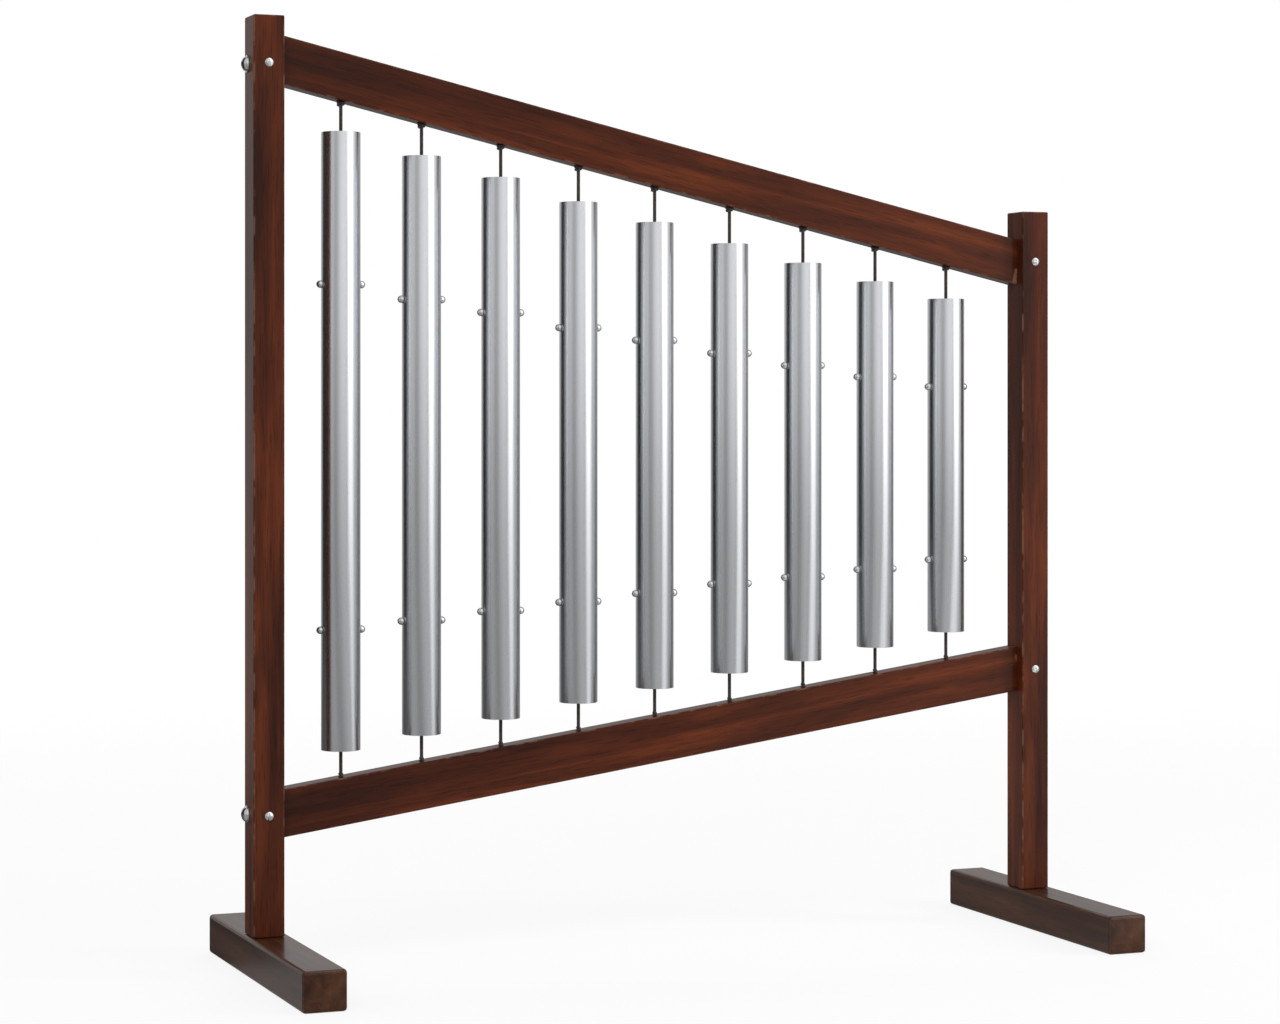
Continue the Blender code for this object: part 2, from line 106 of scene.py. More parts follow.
room = bpy.data.worlds.new("room")
bpy.context.scene.world = room
room.use_nodes = True
tree = room.node_tree
tree.nodes.clear()
seen = tree.nodes.new("ShaderNodeLightPath")
where = tree.nodes.new("ShaderNodeTexCoord")
split = tree.nodes.new("ShaderNodeSeparateXYZ")
tree.links.new(where.outputs["Generated"], split.inputs[0])
walls = walls_round(tree, split)
height = tree.nodes.new("ShaderNodeMapRange")
height.interpolation_type = "SMOOTHSTEP"
height.inputs["From Min"].default_value = LOW_BELOW
height.inputs["From Max"].default_value = HIGH_ABOVE
height.inputs["To Min"].default_value = BRIGHTEST * ROOM_LOW
height.inputs["To Max"].default_value = BRIGHTEST * ROOM_HIGH
tree.links.new(split.outputs["Z"], height.inputs["Value"])
mirrored = tree.nodes.new("ShaderNodeMath")
mirrored.operation = "MULTIPLY"
tree.links.new(walls.outputs[0], mirrored.inputs[0])
tree.links.new(height.outputs[0], mirrored.inputs[1])
polished = tree.nodes.new("ShaderNodeMix")
polished.data_type = "FLOAT"
polished.inputs["A"].default_value = ROOM_FILL
tree.links.new(seen.outputs["Is Glossy Ray"], polished.inputs["Factor"])
tree.links.new(mirrored.outputs[0], polished.inputs["B"])
direct = tree.nodes.new("ShaderNodeMath")
direct.operation = "MAXIMUM"
tree.links.new(seen.outputs["Is Camera Ray"], direct.inputs[0])
tree.links.new(seen.outputs["Is Transmission Ray"], direct.inputs[1])
level = tree.nodes.new("ShaderNodeMix")
level.data_type = "FLOAT"
level.inputs["B"].default_value = BACKDROP_WHITE
tree.links.new(direct.outputs[0], level.inputs["Factor"])
tree.links.new(polished.outputs[0], level.inputs["A"])
glow = tree.nodes.new("ShaderNodeBackground")
glow.inputs["Color"].default_value = (1.0, 1.0, 1.0, 1.0)
tree.links.new(level.outputs[0], glow.inputs["Strength"])
out = tree.nodes.new("ShaderNodeOutputWorld")
tree.links.new(glow.outputs[0], out.inputs["Surface"])


# The floor
# A plain white sheet under the stand that passes softly into the white behind it. It is nearly as
# white as the backdrop, and it still takes the stand's shadow. Metal mirrors the room in it.
FLOOR_SIZE = 9.0
FLOOR_LEVEL = -0.0002
FLOOR_PLAIN = 1.5
FLOOR_END = 3.6
FLOOR_WHITE = (0.86, 0.86, 0.86, 1.0)
FLOOR_ROUGHNESS = 0.9
FLOOR_LIFT = 0.85
FLOOR_MIRRORED = 1.20
MIRRORED_SHARE = 0.90
bpy.ops.object.select_all(action="DESELECT")
bpy.ops.mesh.primitive_plane_add(size=FLOOR_SIZE, location=(0, 0, FLOOR_LEVEL))
floor = bpy.context.object
floor.name = "floor"
paint = bpy.data.materials.new("floor_white")
paint.use_nodes = True
tree = paint.node_tree
matt = tree.nodes["Principled BSDF"]
matt.inputs["Base Color"].default_value = FLOOR_WHITE
matt.inputs["Roughness"].default_value = FLOOR_ROUGHNESS
seen = tree.nodes.new("ShaderNodeLightPath")
direct = tree.nodes.new("ShaderNodeMath")
direct.operation = "MAXIMUM"
tree.links.new(seen.outputs["Is Camera Ray"], direct.inputs[0])
tree.links.new(seen.outputs["Is Transmission Ray"], direct.inputs[1])
amount = tree.nodes.new("ShaderNodeMath")
amount.operation = "MULTIPLY"
amount.inputs[1].default_value = FLOOR_LIFT
tree.links.new(direct.outputs[0], amount.inputs[0])
share = tree.nodes.new("ShaderNodeMath")
share.operation = "MULTIPLY_ADD"
share.inputs[1].default_value = MIRRORED_SHARE
tree.links.new(seen.outputs["Is Glossy Ray"], share.inputs[0])
tree.links.new(amount.outputs[0], share.inputs[2])
white = tree.nodes.new("ShaderNodeEmission")
origin = tree.nodes.new("ShaderNodeTexCoord")
split = tree.nodes.new("ShaderNodeSeparateXYZ")
tree.links.new(origin.outputs["Object"], split.inputs[0])
walls = walls_round(tree, split)
mirrored = tree.nodes.new("ShaderNodeMath")
mirrored.operation = "MULTIPLY"
mirrored.inputs[1].default_value = FLOOR_MIRRORED
tree.links.new(walls.outputs[0], mirrored.inputs[0])
tone = tree.nodes.new("ShaderNodeMix")
tone.data_type = "FLOAT"
tone.inputs["A"].default_value = 1.0
tree.links.new(seen.outputs["Is Glossy Ray"], tone.inputs["Factor"])
tree.links.new(mirrored.outputs[0], tone.inputs["B"])
tree.links.new(tone.outputs[0], white.inputs["Strength"])
blend = tree.nodes.new("ShaderNodeMixShader")
tree.links.new(share.outputs[0], blend.inputs["Fac"])
tree.links.new(matt.outputs[0], blend.inputs[1])
tree.links.new(white.outputs[0], blend.inputs[2])
reach = tree.nodes.new("ShaderNodeVectorMath")
reach.operation = "LENGTH"
tree.links.new(origin.outputs["Object"], reach.inputs[0])
fade = tree.nodes.new("ShaderNodeMapRange")
fade.interpolation_type = "SMOOTHSTEP"
fade.inputs["From Min"].default_value = FLOOR_PLAIN
fade.inputs["From Max"].default_value = FLOOR_END
tree.links.new(reach.outputs["Value"], fade.inputs["Value"])
gone = tree.nodes.new("ShaderNodeBsdfTransparent")
sheet = tree.nodes.new("ShaderNodeMixShader")
tree.links.new(fade.outputs[0], sheet.inputs["Fac"])
tree.links.new(blend.outputs[0], sheet.inputs[1])
tree.links.new(gone.outputs[0], sheet.inputs[2])
tree.links.new(sheet.outputs[0], tree.nodes["Material Output"].inputs["Surface"])
floor.data.materials.append(paint)


# The lamps
# Three soft boxes: a broad one above the camera's left, a tall one at the right and a weak one
# behind. Their own outlines don't show in the metal, which mirrors the room's walls alone.
def soft_box(name, place, target, width, height, power):
    """A rectangular lamp that faces a point."""
    bpy.ops.object.light_add(type="AREA", location=place)
    lamp = bpy.context.object
    lamp.name = name
    lamp.rotation_euler = (Vector(target) - Vector(place)).to_track_quat("-Z", "Y").to_euler()
    lamp.data.shape = "RECTANGLE"
    lamp.data.size = width
    lamp.data.size_y = height
    lamp.data.energy = power
    lamp.visible_glossy = False
    return lamp


soft_box("key_box", place=(-2.4, -3.2, 3.4), target=(0, 0, 0.7), width=2.2, height=1.6, power=95)
soft_box("right_strip", place=(2.9, -1.5, 1.3), target=(0, 0, 0.7), width=0.7, height=2.4, power=60)
soft_box("back_box", place=(0.5, 2.8, 2.8), target=(0, 0, 0.6), width=2.0, height=1.0, power=30)


# Timber of the stand
# Two posts, two feet and two rails are planed hardwood, stained a dark red-brown and lacquered.
# The grain runs along each piece. Along the edges the stain has worn off here and there, and the paler
# colour there is partly a painted highlight of the eased edges' glint.
# A pattern is given by its waves in a metre along and across the piece, its detail and its waviness.
GRAIN = (2.6, 46.0, 7.0, 0.9)
BLOTCHES = (3.4, 15.0, 3.0, 0.4)
BLOTCH_SHARE = 0.42
PORES = (34.0, 820.0, 2.0, 0.0)
PORE_EDGE = (0.30, 0.46)
PORE_DARKNESS = 0.55
PORE_STRENGTH = 0.18
PORE_DEPTH = 0.0006
STAIN_STEPS = (0.34, 0.50, 0.68)
# The broken pale band along the edges is worn stain and also a painted highlight where the eased edges
# glint.
WORN_GLINT_WIDTH = 0.0022
WORN_GLINT_BREAKS = (42.0, 70.0, 4.0, 0.0)
WORN_GLINT_EDGE = (0.50, 0.62)
WORN_GLINT_MOST = 0.55
GLOSS_RANGE = (0.26, 0.46)
WOOD_MIRROR = 0.12
LACQUER = 0.12
FOOT_LACQUER = 0.40
LACQUER_ROUGHNESS = 0.16
STAIN_DARK = (0.024, 0.0050, 0.0018)
STAIN_MIDDLE = (0.062, 0.0125, 0.0038)
STAIN_LIGHT = (0.128, 0.0270, 0.0072)
FOOT_DARK = (0.018, 0.0055, 0.0024)
FOOT_MIDDLE = (0.054, 0.0190, 0.0080)
FOOT_LIGHT = (0.090, 0.0340, 0.0150)
# Pale colour of the edge band: bared wood, and also a painted highlight of the edges' glint.
WORN_WOOD_AND_GLINT = (0.300, 0.170, 0.105)


def rail_slope(node):
    """Angle of a rail, from the heights of its two ends."""
    end_depth = 0.0005
    points = [vertex.co for vertex in frame["nodes"][node].data.vertices]
    low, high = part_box(node)
    left = max(point.z for point in points if point.x < low.x + end_depth)
    right = max(point.z for point in points if point.x > high.x - end_depth)
    return math.atan2(right - left, high.x - low.x)


def distance_node(tree, value, half):
    """How deep a point lies below the pair of faces across one axis."""
    size = tree.nodes.new("ShaderNodeMath")
    size.operation = "ABSOLUTE"
    tree.links.new(value, size.inputs[0])
    depth = tree.nodes.new("ShaderNodeMath")
    depth.operation = "SUBTRACT"
    depth.inputs[0].default_value = half
    tree.links.new(size.outputs[0], depth.inputs[1])
    return depth.outputs[0]


def pick_node(tree, operation, first, second):
    """The smaller or the larger of two values."""
    pick = tree.nodes.new("ShaderNodeMath")
    pick.operation = operation
    tree.links.new(first, pick.inputs[0])
    tree.links.new(second, pick.inputs[1])
    return pick.outputs[0]


def streaks(tree, place, axis, pattern):
    """Noise drawn out along the piece."""
    along, across, detail, waviness = pattern
    stretch = tree.nodes.new("ShaderNodeMapping")
    scale = [across, across, across]
    scale[axis] = along
    stretch.inputs["Scale"].default_value = scale
    tree.links.new(place, stretch.inputs["Vector"])
    noise = tree.nodes.new("ShaderNodeTexNoise")
    noise.inputs["Scale"].default_value = 1.0
    noise.inputs["Detail"].default_value = detail
    noise.inputs["Distortion"].default_value = waviness
    tree.links.new(stretch.outputs[0], noise.inputs["Vector"])
    return noise.outputs["Fac"]


def stained_timber(node, axis, slope, colours, sizes, lacquer):
    """Stained and lacquered wood for one piece, with its grain along the given axis."""
    low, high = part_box(node)
    made = bpy.data.materials.new("timber_" + node)
    made.use_nodes = True
    tree = made.node_tree
    wood = tree.nodes["Principled BSDF"]
    origin = tree.nodes.new("ShaderNodeTexCoord")
    centred = tree.nodes.new("ShaderNodeMapping")
    centred.vector_type = "TEXTURE"
    centred.inputs["Location"].default_value = (low + high) / 2
    centred.inputs["Rotation"].default_value = (0, -slope, 0)
    tree.links.new(origin.outputs["Object"], centred.inputs["Vector"])
    place = centred.outputs[0]

    grain = streaks(tree, place, axis, GRAIN)
    blotch = streaks(tree, place, axis, BLOTCHES)
    pores = streaks(tree, place, axis, PORES)
    figure = tree.nodes.new("ShaderNodeMix")
    figure.data_type = "FLOAT"
    figure.inputs["Factor"].default_value = BLOTCH_SHARE
    tree.links.new(grain, figure.inputs["A"])
    tree.links.new(blotch, figure.inputs["B"])
    ramp = tree.nodes.new("ShaderNodeValToRGB")
    tree.links.new(figure.outputs[0], ramp.inputs["Fac"])
    dark, middle, light = colours
    steps = ramp.color_ramp.elements
    steps[0].position = STAIN_STEPS[0]
    steps[0].color = (*dark, 1.0)
    steps[1].position = STAIN_STEPS[2]
    steps[1].color = (*light, 1.0)
    steps.new(STAIN_STEPS[1]).color = (*middle, 1.0)

    pore_shade = tree.nodes.new("ShaderNodeMapRange")
    pore_shade.inputs["From Min"].default_value = PORE_EDGE[0]
    pore_shade.inputs["From Max"].default_value = PORE_EDGE[1]
    pore_shade.inputs["To Min"].default_value = PORE_DARKNESS
    tree.links.new(pores, pore_shade.inputs["Value"])
    darker = tree.nodes.new("ShaderNodeMix")
    darker.data_type = "RGBA"
    darker.blend_type = "MULTIPLY"
    darker.inputs["Factor"].default_value = 1.0
    tree.links.new(ramp.outputs["Color"], darker.inputs["A"])
    tree.links.new(pore_shade.outputs[0], darker.inputs["B"])

    # Pale broken band along the edges: worn stain, partly painted highlight of the eased edges' glint.
    axes = tree.nodes.new("ShaderNodeSeparateXYZ")
    tree.links.new(place, axes.inputs[0])
    depth = [distance_node(tree, axes.outputs[name], size / 2) for name, size in zip("XYZ", sizes)]
    nearer = pick_node(tree, "MINIMUM", depth[0], depth[1])
    farther = pick_node(tree, "MAXIMUM", depth[0], depth[1])
    edge = pick_node(tree, "MAXIMUM", nearer, pick_node(tree, "MINIMUM", farther, depth[2]))
    rim = tree.nodes.new("ShaderNodeMapRange")
    rim.inputs["From Max"].default_value = WORN_GLINT_WIDTH
    rim.inputs["To Min"].default_value = 1.0
    rim.inputs["To Max"].default_value = 0.0
    tree.links.new(edge, rim.inputs["Value"])
    broken = streaks(tree, place, axis, WORN_GLINT_BREAKS)
    patches = tree.nodes.new("ShaderNodeMapRange")
    patches.inputs["From Min"].default_value = WORN_GLINT_EDGE[0]
    patches.inputs["From Max"].default_value = WORN_GLINT_EDGE[1]
    patches.inputs["To Max"].default_value = WORN_GLINT_MOST
    tree.links.new(broken, patches.inputs["Value"])
    wear_and_glint = pick_node(tree, "MULTIPLY", rim.outputs[0], patches.outputs[0])
    bared_and_highlit = tree.nodes.new("ShaderNodeMix")
    bared_and_highlit.data_type = "RGBA"
    bared_and_highlit.inputs["B"].default_value = (*WORN_WOOD_AND_GLINT, 1.0)
    tree.links.new(wear_and_glint, bared_and_highlit.inputs["Factor"])
    tree.links.new(darker.outputs["Result"], bared_and_highlit.inputs["A"])
    tree.links.new(bared_and_highlit.outputs["Result"], wood.inputs["Base Color"])

    gloss = tree.nodes.new("ShaderNodeMapRange")
    gloss.inputs["To Min"].default_value = GLOSS_RANGE[0]
    gloss.inputs["To Max"].default_value = GLOSS_RANGE[1]
    tree.links.new(blotch, gloss.inputs["Value"])
    tree.links.new(gloss.outputs[0], wood.inputs["Roughness"])
    wood.inputs["Specular IOR Level"].default_value = WOOD_MIRROR
    wood.inputs["Coat Weight"].default_value = lacquer
    wood.inputs["Coat Roughness"].default_value = LACQUER_ROUGHNESS
    relief = tree.nodes.new("ShaderNodeBump")
    relief.inputs["Strength"].default_value = PORE_STRENGTH
    relief.inputs["Distance"].default_value = PORE_DEPTH
    tree.links.new(pores, relief.inputs["Height"])
    tree.links.new(relief.outputs[0], wood.inputs["Normal"])
    return made


def dress_timber(node, axis, slope, colours, lacquer):
    """Give a CAD piece of the stand its own wood."""
    low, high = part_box(node)
    sizes = list(high - low)
    if slope:
        rise = abs(math.tan(slope)) * sizes[0]
        sizes = [sizes[0] / math.cos(slope), sizes[1], (sizes[2] - rise) * math.cos(slope)]
    piece = frame["nodes"][node]
    piece.data.materials.clear()
    piece.data.materials.append(stained_timber(node, axis, slope, colours, sizes, lacquer))


STAIN = (STAIN_DARK, STAIN_MIDDLE, STAIN_LIGHT)
FOOT_STAIN = (FOOT_DARK, FOOT_MIDDLE, FOOT_LIGHT)
for post in ("left_post", "right_post"):
    dress_timber(post, 2, 0.0, STAIN, LACQUER)
for rail in ("top_rail", "bottom_rail"):
    dress_timber(rail, 0, rail_slope(rail), STAIN, LACQUER)
for foot in ("left_foot", "right_foot"):
    dress_timber(foot, 1, 0.0, FOOT_STAIN, FOOT_LACQUER)


# Tubes
# Nine lengths of drawn aluminium tube, sawn square, with the ends eased and the surface left satin.
# Each hangs in the middle of the rails and carries its two cross pins.
TUBE_RADIUS = 0.025
TUBE_WALL = 0.003
TUBE_FACETS = 96
RIM_EASE = 0.0005
ALUMINIUM_COLOUR = (0.72, 0.735, 0.76, 1.0)
DRAWN_LINES = (5.0, 1100.0, 3.0, 0.0)
SMEARS = (9.0, 26.0, 4.0, 0.5)
SMEAR_SHARE = 0.5
SATIN_EDGE = (0.3, 0.7)
SATIN_ROUGHNESS = (0.22, 0.32)
LINE_STRENGTH = 0.02
LINE_DEPTH = 0.0001
SMOOTH_BELOW = math.radians(32)

satin = bpy.data.materials.new("satin_aluminium")
satin.use_nodes = True
tree = satin.node_tree
metal = tree.nodes["Principled BSDF"]
metal.inputs["Base Color"].default_value = ALUMINIUM_COLOUR
metal.inputs["Metallic"].default_value = 1.0
origin = tree.nodes.new("ShaderNodeTexCoord")
drawn = streaks(tree, origin.outputs["Object"], 2, DRAWN_LINES)
smears = streaks(tree, origin.outputs["Object"], 2, SMEARS)
mixed = tree.nodes.new("ShaderNodeMix")
mixed.data_type = "FLOAT"
mixed.inputs["Factor"].default_value = SMEAR_SHARE
tree.links.new(drawn, mixed.inputs["A"])
tree.links.new(smears, mixed.inputs["B"])
dulled = tree.nodes.new("ShaderNodeMapRange")
dulled.inputs["From Min"].default_value = SATIN_EDGE[0]
dulled.inputs["From Max"].default_value = SATIN_EDGE[1]
dulled.inputs["To Min"].default_value = SATIN_ROUGHNESS[0]
dulled.inputs["To Max"].default_value = SATIN_ROUGHNESS[1]
tree.links.new(mixed.outputs[0], dulled.inputs["Value"])
tree.links.new(dulled.outputs[0], metal.inputs["Roughness"])
relief = tree.nodes.new("ShaderNodeBump")
relief.inputs["Strength"].default_value = LINE_STRENGTH
relief.inputs["Distance"].default_value = LINE_DEPTH
tree.links.new(drawn, relief.inputs["Height"])
tree.links.new(relief.outputs[0], metal.inputs["Normal"])


def finish_piece(piece, name, material, body, slot, *nodes):
    """Name a modelled piece, set it in the origin, give it its finish and hang it on its body."""
    piece.name = name
    piece.data.name = name
    bpy.ops.object.select_all(action="DESELECT")
    piece.select_set(True)
    bpy.context.view_layer.objects.active = piece
    bpy.ops.object.transform_apply(location=True, rotation=True, scale=True)
    bpy.ops.object.shade_smooth_by_angle(angle=SMOOTH_BELOW)
    piece.data.materials.clear()
    piece.data.materials.append(material)
    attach(piece, body)
    if nodes:
        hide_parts(*nodes)
    return piece


def apply_modifiers(piece):
    """Apply every modifier of the active piece."""
    for modifier in list(piece.modifiers):
        bpy.ops.object.modifier_apply(modifier=modifier.name)


for number in range(1, 10):
    low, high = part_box(f"tube_{number}")
    middle = (low + high) / 2
    bpy.ops.object.select_all(action="DESELECT")
    bpy.ops.mesh.primitive_cylinder_add(vertices=TUBE_FACETS, radius=TUBE_RADIUS, depth=high.z - low.z,
                                        end_fill_type="NOTHING", location=middle)
    tube = bpy.context.object
    wall = tube.modifiers.new("wall", "SOLIDIFY")
    wall.thickness = TUBE_WALL
    wall.offset = -1.0
    ease = tube.modifiers.new("ease", "BEVEL")
    ease.width = RIM_EASE
    ease.segments = 2
    ease.limit_method = "ANGLE"
    apply_modifiers(tube)
    finish_piece(tube, f"sounding_tube_{number}", satin, f"chime_{number}", "tube_aluminium",
                 f"tube_{number}")


# Cross pins
# A plated steel pin runs through each tube near its still points, with a ball-like cap nut drawn up
# on a collar at both ends. The cords' eyes hang on the middle of the pins.
PIN_RADIUS = 0.0025
NUT_RADIUS = 0.0050
NUT_COLLAR = 0.0016
NUT_DOME = 0.0052
NUT_SEAT = TUBE_RADIUS + 0.0003
NUT_FACETS = 32
NUT_RINGS = 20
RIM_EASED_ABOVE = math.radians(40)
COLLAR_EASE = 0.0003
PIN_FACETS = 20
CHROME_COLOUR = (0.74, 0.745, 0.75, 1.0)
HAZE_SCALE = 420.0
HAZE_DETAIL = 4.0
CHROME_ROUGHNESS = (0.08, 0.24)

chrome = bpy.data.materials.new("bright_chrome")
chrome.use_nodes = True
tree = chrome.node_tree
plate = tree.nodes["Principled BSDF"]
plate.inputs["Base Color"].default_value = CHROME_COLOUR
plate.inputs["Metallic"].default_value = 1.0
origin = tree.nodes.new("ShaderNodeTexCoord")
haze = tree.nodes.new("ShaderNodeTexNoise")
haze.inputs["Scale"].default_value = HAZE_SCALE
haze.inputs["Detail"].default_value = HAZE_DETAIL
tree.links.new(origin.outputs["Object"], haze.inputs["Vector"])
hazed = tree.nodes.new("ShaderNodeMapRange")
hazed.inputs["To Min"].default_value = CHROME_ROUGHNESS[0]
hazed.inputs["To Max"].default_value = CHROME_ROUGHNESS[1]
tree.links.new(haze.outputs["Fac"], hazed.inputs["Value"])
tree.links.new(hazed.outputs[0], plate.inputs["Roughness"])


def select_object(piece):
    """Make one piece the only selected one."""
    bpy.ops.object.select_all(action="DESELECT")
    piece.select_set(True)
    bpy.context.view_layer.objects.active = piece


def dome(radius, height, base, facets):
    """The upper half of a ball, drawn to its height and closed below."""
    bpy.ops.object.select_all(action="DESELECT")
    bpy.ops.mesh.primitive_uv_sphere_add(segments=facets, ring_count=NUT_RINGS, radius=radius,
                                         location=(0, 0, 0))
    ball = bpy.context.object
    bpy.ops.object.mode_set(mode="EDIT")
    bpy.ops.mesh.select_all(action="SELECT")
    bpy.ops.mesh.bisect(plane_co=(0, 0, 0), plane_no=(0, 0, 1), use_fill=True, clear_inner=True)
    bpy.ops.object.mode_set(mode="OBJECT")
    ball.scale = (1, 1, height / radius)
    ball.location = (0, 0, base)
    bpy.ops.object.transform_apply(location=True, scale=True)
    return ball


def disc(radius, thickness, base, facets, ease):
    """A flat round plate with its rims eased."""
    bpy.ops.object.select_all(action="DESELECT")
    bpy.ops.mesh.primitive_cylinder_add(vertices=facets, radius=radius, depth=thickness,
                                        location=(0, 0, base + thickness / 2))
    plate = bpy.context.object
    rims = plate.modifiers.new("rims", "BEVEL")
    rims.width = ease
    rims.segments = 3
    rims.limit_method = "ANGLE"
    rims.angle_limit = RIM_EASED_ABOVE
    bpy.ops.object.modifier_apply(modifier=rims.name)
    bpy.ops.object.transform_apply(location=True)
    return plate


def join_pieces(first, *others):
    """Join several meshes into the first."""
    select_object(first)
    for other in others:
        other.select_set(True)
    bpy.ops.object.join()
    return first


def place_copy(master, place, direction):
    """A copy of a piece that was made upright at the origin, laid along a direction."""
    piece = master.copy()
    piece.data = master.data.copy()
    bpy.context.collection.objects.link(piece)
    piece.rotation_euler = Vector(direction).to_track_quat("Z", "Y").to_euler()
    piece.location = place
    return piece


nut = join_pieces(dome(NUT_RADIUS, NUT_DOME, NUT_SEAT + NUT_COLLAR, NUT_FACETS),
                  disc(NUT_RADIUS, NUT_COLLAR, NUT_SEAT, NUT_FACETS, COLLAR_EASE))
far_nut = place_copy(nut, (0, 0, 0), (0, 0, -1))
bpy.ops.object.select_all(action="DESELECT")
bpy.ops.mesh.primitive_cylinder_add(vertices=PIN_FACETS, radius=PIN_RADIUS, depth=2 * NUT_SEAT)
pin_master = join_pieces(bpy.context.object, nut, far_nut)
for number in range(1, 10):
    for level_name in ("upper", "lower"):
        node = f"{level_name}_pin_{number}"
        low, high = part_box(node)
        pin = place_copy(pin_master, (low + high) / 2, (1, 0, 0))
        finish_piece(pin, f"capped_pin_{level_name}_{number}", chrome, f"chime_{number}", "nut_chrome",
                     node)
bpy.data.objects.remove(pin_master, do_unlink=True)


# Bolts and screws
# Chromed button-head bolts with a washer draw the posts to the rails' ends from outside. A small
# domed screw with a cross recess sits at each of them in the front of the post.
HEAD_RADIUS = 0.0095
HEAD_HEIGHT = 0.0060
HEAD_FACETS = 40
SOCKET_RADIUS = 0.0031
SOCKET_DEPTH = 0.0036
WASHER_RADIUS = 0.0110
WASHER_THICKNESS = 0.0020
WASHER_FACETS = 48
WASHER_EASE = 0.0004
SHANK_RADIUS = 0.0040
SEAT = 0.0003
SCREW_HEAD_RADIUS = 0.0060
SCREW_HEAD_HEIGHT = 0.0032
SCREW_FACETS = 32
SLOT_LENGTH = 0.0066
SLOT_WIDTH = 0.0013
SLOT_DEPTH = 0.0016
SCREW_SHANK = 0.0025
SHANK_FACETS = 20


def cut_away(piece, cutter):
    """Cut one mesh out of another and remove the cutter."""
    select_object(piece)
    cut = piece.modifiers.new("cut", "BOOLEAN")
    cut.operation = "DIFFERENCE"
    cut.solver = "EXACT"
    cut.object = cutter
    bpy.ops.object.modifier_apply(modifier=cut.name)
    bpy.data.objects.remove(cutter, do_unlink=True)
    return piece


def shank(radius, length, top):
    """The plain part of a bolt or screw below its head."""
    bpy.ops.object.select_all(action="DESELECT")
    bpy.ops.mesh.primitive_cylinder_add(vertices=SHANK_FACETS, radius=radius, depth=length,
                                        location=(0, 0, top - length / 2))
    bpy.ops.object.transform_apply(location=True)
    return bpy.context.object


head_base = SEAT + WASHER_THICKNESS
bolt_head = dome(HEAD_RADIUS, HEAD_HEIGHT, head_base, HEAD_FACETS)
bpy.ops.object.select_all(action="DESELECT")
bpy.ops.mesh.primitive_cylinder_add(vertices=6, radius=SOCKET_RADIUS, depth=2 * SOCKET_DEPTH,
                                    location=(0, 0, head_base + HEAD_HEIGHT))
cut_away(bolt_head, bpy.context.object)
washer = disc(WASHER_RADIUS, WASHER_THICKNESS, SEAT, WASHER_FACETS, WASHER_EASE)
bolt_low, bolt_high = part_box("top_left_bolt")
bolt_length = (bolt_high.x - bolt_low.x) - WASHER_THICKNESS - HEAD_HEIGHT - SEAT
bolt_master = join_pieces(bolt_head, washer, shank(SHANK_RADIUS, bolt_length, SEAT))

screw_head = dome(SCREW_HEAD_RADIUS, SCREW_HEAD_HEIGHT, SEAT, SCREW_FACETS)
for turn in (0.0, math.pi / 2):
    bpy.ops.object.select_all(action="DESELECT")
    bpy.ops.mesh.primitive_cube_add(size=1, location=(0, 0, SEAT + SCREW_HEAD_HEIGHT),
                                    rotation=(0, 0, turn))
    slot_cutter = bpy.context.object
    slot_cutter.scale = (SLOT_LENGTH, SLOT_WIDTH, 2 * SLOT_DEPTH)
    cut_away(screw_head, slot_cutter)
screw_low, screw_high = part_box("top_left_screw")
screw_length = (screw_high.y - screw_low.y) - SCREW_HEAD_HEIGHT - SEAT
screw_master = join_pieces(screw_head, shank(SCREW_SHANK, screw_length, SEAT))

for rail in ("top", "bottom"):
    for post, outward in (("left", -1), ("right", 1)):
        node = f"{rail}_{post}_bolt"
        low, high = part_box(node)
        tip = low.x if outward > 0 else high.x
        seat = Vector((tip + outward * bolt_length, (low.y + high.y) / 2, (low.z + high.z) / 2))
        seat.x -= outward * SEAT
        bolt = place_copy(bolt_master, seat, (outward, 0, 0))
        finish_piece(bolt, f"button_bolt_{rail}_{post}", chrome, "stand", "fastener_chrome", node)
        node = f"{rail}_{post}_screw"
        low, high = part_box(node)
        seat = Vector(((low.x + high.x) / 2, high.y - screw_length + SEAT, (low.z + high.z) / 2))
        screw = place_copy(screw_master, seat, (0, -1, 0))
        finish_piece(screw, f"cross_screw_{rail}_{post}", chrome, "stand", "fastener_chrome", node)
bpy.data.objects.remove(bolt_master, do_unlink=True)
bpy.data.objects.remove(screw_master, do_unlink=True)


# Cords
# Dark braided cord, about 4.5 mm thick. Above each tube it comes out of a flat knot in the rail's
# underside, runs down into the tube and closes in an eye round the upper pin. Below, a thinner
# knot in the lower rail holds a second cord whose long eye steadies the tube's lower pin.
CORD_RADIUS = 0.00225
CORD_FACETS = 16
EYE_STRAND = 0.0020
EYE_ROOM = 0.0004
EYE_RADIUS = PIN_RADIUS + EYE_ROOM + EYE_STRAND
RING_STEPS = 32
RING_FACETS = 12
UPPER_KNOT = {"radius": 0.0036, "strand": 0.0021, "gap": 0.0011}
UPPER_KNOT_DROP = 0.0016
LOWER_KNOT = {"radius": 0.0016, "strand": 0.0017, "gap": 0.0013}
LOWER_KNOT_RISE = 0.0006
KNOT_LEAN = math.radians(11)
KNOT_TURNS = (0.4, 1.3)
SECOND_RADIUS = 0.92
SECOND_STRAND = 0.96
BRAID_ROUGHNESS = 0.72
BRAID_SHEEN = 0.25
BRAID_STRENGTH = 0.6
BRAID_DEPTH = 0.0004
BRAID_HOLLOW = -0.4
BRAID_ROUND = 7.0
BRAID_ALONG = 1.15
# The darker colour is painted shade in the braid's hollows between the strands; the lighter one is the
# cord on its ridges.
CORD_SHADED_HOLLOW = (0.0085, 0.0058, 0.0050, 1.0)
CORD_LIGHT = (0.0480, 0.0330, 0.0280, 1.0)

